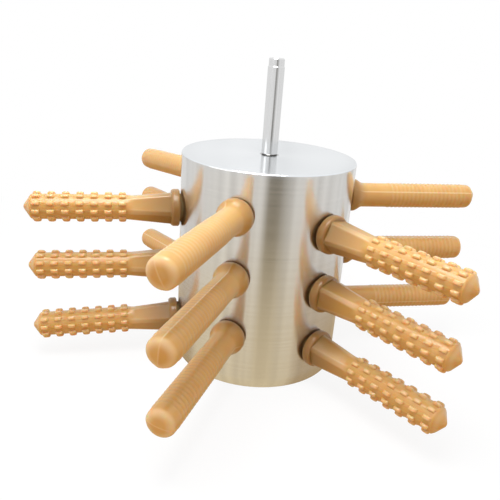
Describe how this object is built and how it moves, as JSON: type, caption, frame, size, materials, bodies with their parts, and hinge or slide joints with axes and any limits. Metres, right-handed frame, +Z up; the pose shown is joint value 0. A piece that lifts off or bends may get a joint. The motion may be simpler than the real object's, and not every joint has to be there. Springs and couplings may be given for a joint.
{
  "type": "poultry plucker",
  "caption": "Drill-driven poultry plucker: a brushed steel drum, open below, with a chuck shank on its top plate and soft rubber fingers, ribbed and studded, standing out of its wall.",
  "frame": {"origin": "centre of the drum's open bottom rim, on the plane that it stands on", "axes": "+Z up along the drum's axis and the shank, -Y out along the front column of ribbed fingers, +X to the right of it"},
  "size_m": [0.254, 0.29, 0.1905],
  "materials": {
    "drum_steel": "stainless, brushed around the drum",
    "plate_steel": "stainless, bright and finely ground",
    "shank_steel": "polished",
    "zinc_steel": "zinc plated",
    "ribbed_rubber": "amber moulded rubber, satin",
    "studded_rubber": "amber moulded rubber, satin to glossy"
  },
  "bodies": {
    "drum": {"drum_shell": "drum_steel", "top_plate": "plate_steel", "shank": "shank_steel", "flat_washer": "zinc_steel", "spring_washer": "zinc_steel", "hex_nut": "zinc_steel"},
    "ribbed_finger_front_upper": {"ribbed_finger_front_upper": "ribbed_rubber"},
    "ribbed_finger_front_middle": {"ribbed_finger_front_middle": "ribbed_rubber"},
    "ribbed_finger_front_lower": {"ribbed_finger_front_lower": "ribbed_rubber"},
    "ribbed_finger_back_right_upper": {"ribbed_finger_back_right_upper": "ribbed_rubber"},
    "ribbed_finger_back_right_middle": {"ribbed_finger_back_right_middle": "ribbed_rubber"},
    "ribbed_finger_back_right_lower": {"ribbed_finger_back_right_lower": "ribbed_rubber"},
    "ribbed_finger_back_left_upper": {"ribbed_finger_back_left_upper": "ribbed_rubber"},
    "ribbed_finger_back_left_middle": {"ribbed_finger_back_left_middle": "ribbed_rubber"},
    "ribbed_finger_back_left_lower": {"ribbed_finger_back_left_lower": "ribbed_rubber"},
    "studded_finger_right_upper": {"studded_finger_right_upper": "studded_rubber"},
    "studded_finger_right_middle": {"studded_finger_right_middle": "studded_rubber"},
    "studded_finger_right_lower": {"studded_finger_right_lower": "studded_rubber"},
    "studded_finger_back_upper": {"studded_finger_back_upper": "studded_rubber"},
    "studded_finger_back_middle": {"studded_finger_back_middle": "studded_rubber"},
    "studded_finger_back_lower": {"studded_finger_back_lower": "studded_rubber"},
    "studded_finger_left_upper": {"studded_finger_left_upper": "studded_rubber"},
    "studded_finger_left_middle": {"studded_finger_left_middle": "studded_rubber"},
    "studded_finger_left_lower": {"studded_finger_left_lower": "studded_rubber"}
  },
  "joints": [
    {"name": "ribbed_finger_front_upper_flex", "type": "hinge", "parent": "drum", "child": "ribbed_finger_front_upper", "pos_m": [0, -0.068, 0.109], "axis": [0, 0, 1], "range_deg": [-30, 30], "stiffness_Nm_per_rad": 0.25, "deforming": ["ribbed_finger_front_upper"]},
    {"name": "ribbed_finger_front_middle_flex", "type": "hinge", "parent": "drum", "child": "ribbed_finger_front_middle", "pos_m": [0, -0.068, 0.0715], "axis": [0, 0, 1], "range_deg": [-30, 30], "stiffness_Nm_per_rad": 0.25, "deforming": ["ribbed_finger_front_middle"]},
    {"name": "ribbed_finger_front_lower_flex", "type": "hinge", "parent": "drum", "child": "ribbed_finger_front_lower", "pos_m": [0, -0.068, 0.034], "axis": [0, 0, 1], "range_deg": [-30, 30], "stiffness_Nm_per_rad": 0.25, "deforming": ["ribbed_finger_front_lower"]},
    {"name": "ribbed_finger_back_right_upper_flex", "type": "hinge", "parent": "drum", "child": "ribbed_finger_back_right_upper", "pos_m": [0.05889, 0.034, 0.109], "axis": [0, 0, 1], "range_deg": [-30, 30], "stiffness_Nm_per_rad": 0.25, "deforming": ["ribbed_finger_back_right_upper"]},
    {"name": "ribbed_finger_back_right_middle_flex", "type": "hinge", "parent": "drum", "child": "ribbed_finger_back_right_middle", "pos_m": [0.05889, 0.034, 0.0715], "axis": [0, 0, 1], "range_deg": [-30, 30], "stiffness_Nm_per_rad": 0.25, "deforming": ["ribbed_finger_back_right_middle"]},
    {"name": "ribbed_finger_back_right_lower_flex", "type": "hinge", "parent": "drum", "child": "ribbed_finger_back_right_lower", "pos_m": [0.05889, 0.034, 0.034], "axis": [0, 0, 1], "range_deg": [-30, 30], "stiffness_Nm_per_rad": 0.25, "deforming": ["ribbed_finger_back_right_lower"]},
    {"name": "ribbed_finger_back_left_upper_flex", "type": "hinge", "parent": "drum", "child": "ribbed_finger_back_left_upper", "pos_m": [-0.05889, 0.034, 0.109], "axis": [0, 0, 1], "range_deg": [-30, 30], "stiffness_Nm_per_rad": 0.25, "deforming": ["ribbed_finger_back_left_upper"]},
    {"name": "ribbed_finger_back_left_middle_flex", "type": "hinge", "parent": "drum", "child": "ribbed_finger_back_left_middle", "pos_m": [-0.05889, 0.034, 0.0715], "axis": [0, 0, 1], "range_deg": [-30, 30], "stiffness_Nm_per_rad": 0.25, "deforming": ["ribbed_finger_back_left_middle"]},
    {"name": "ribbed_finger_back_left_lower_flex", "type": "hinge", "parent": "drum", "child": "ribbed_finger_back_left_lower", "pos_m": [-0.05889, 0.034, 0.034], "axis": [0, 0, 1], "range_deg": [-30, 30], "stiffness_Nm_per_rad": 0.25, "deforming": ["ribbed_finger_back_left_lower"]},
    {"name": "studded_finger_right_upper_flex", "type": "hinge", "parent": "drum", "child": "studded_finger_right_upper", "pos_m": [0.05889, -0.034, 0.099], "axis": [0, 0, 1], "range_deg": [-30, 30], "stiffness_Nm_per_rad": 0.25, "deforming": ["studded_finger_right_upper"]},
    {"name": "studded_finger_right_middle_flex", "type": "hinge", "parent": "drum", "child": "studded_finger_right_middle", "pos_m": [0.05889, -0.034, 0.0615], "axis": [0, 0, 1], "range_deg": [-30, 30], "stiffness_Nm_per_rad": 0.25, "deforming": ["studded_finger_right_middle"]},
    {"name": "studded_finger_right_lower_flex", "type": "hinge", "parent": "drum", "child": "studded_finger_right_lower", "pos_m": [0.05889, -0.034, 0.024], "axis": [0, 0, 1], "range_deg": [-30, 30], "stiffness_Nm_per_rad": 0.25, "deforming": ["studded_finger_right_lower"]},
    {"name": "studded_finger_back_upper_flex", "type": "hinge", "parent": "drum", "child": "studded_finger_back_upper", "pos_m": [0, 0.068, 0.099], "axis": [0, 0, 1], "range_deg": [-30, 30], "stiffness_Nm_per_rad": 0.25, "deforming": ["studded_finger_back_upper"]},
    {"name": "studded_finger_back_middle_flex", "type": "hinge", "parent": "drum", "child": "studded_finger_back_middle", "pos_m": [0, 0.068, 0.0615], "axis": [0, 0, 1], "range_deg": [-30, 30], "stiffness_Nm_per_rad": 0.25, "deforming": ["studded_finger_back_middle"]},
    {"name": "studded_finger_back_lower_flex", "type": "hinge", "parent": "drum", "child": "studded_finger_back_lower", "pos_m": [0, 0.068, 0.024], "axis": [0, 0, 1], "range_deg": [-30, 30], "stiffness_Nm_per_rad": 0.25, "deforming": ["studded_finger_back_lower"]},
    {"name": "studded_finger_left_upper_flex", "type": "hinge", "parent": "drum", "child": "studded_finger_left_upper", "pos_m": [-0.05889, -0.034, 0.099], "axis": [0, 0, 1], "range_deg": [-30, 30], "stiffness_Nm_per_rad": 0.25, "deforming": ["studded_finger_left_upper"]},
    {"name": "studded_finger_left_middle_flex", "type": "hinge", "parent": "drum", "child": "studded_finger_left_middle", "pos_m": [-0.05889, -0.034, 0.0615], "axis": [0, 0, 1], "range_deg": [-30, 30], "stiffness_Nm_per_rad": 0.25, "deforming": ["studded_finger_left_middle"]},
    {"name": "studded_finger_left_lower_flex", "type": "hinge", "parent": "drum", "child": "studded_finger_left_lower", "pos_m": [-0.05889, -0.034, 0.024], "axis": [0, 0, 1], "range_deg": [-30, 30], "stiffness_Nm_per_rad": 0.25, "deforming": ["studded_finger_left_lower"]}
  ]
}
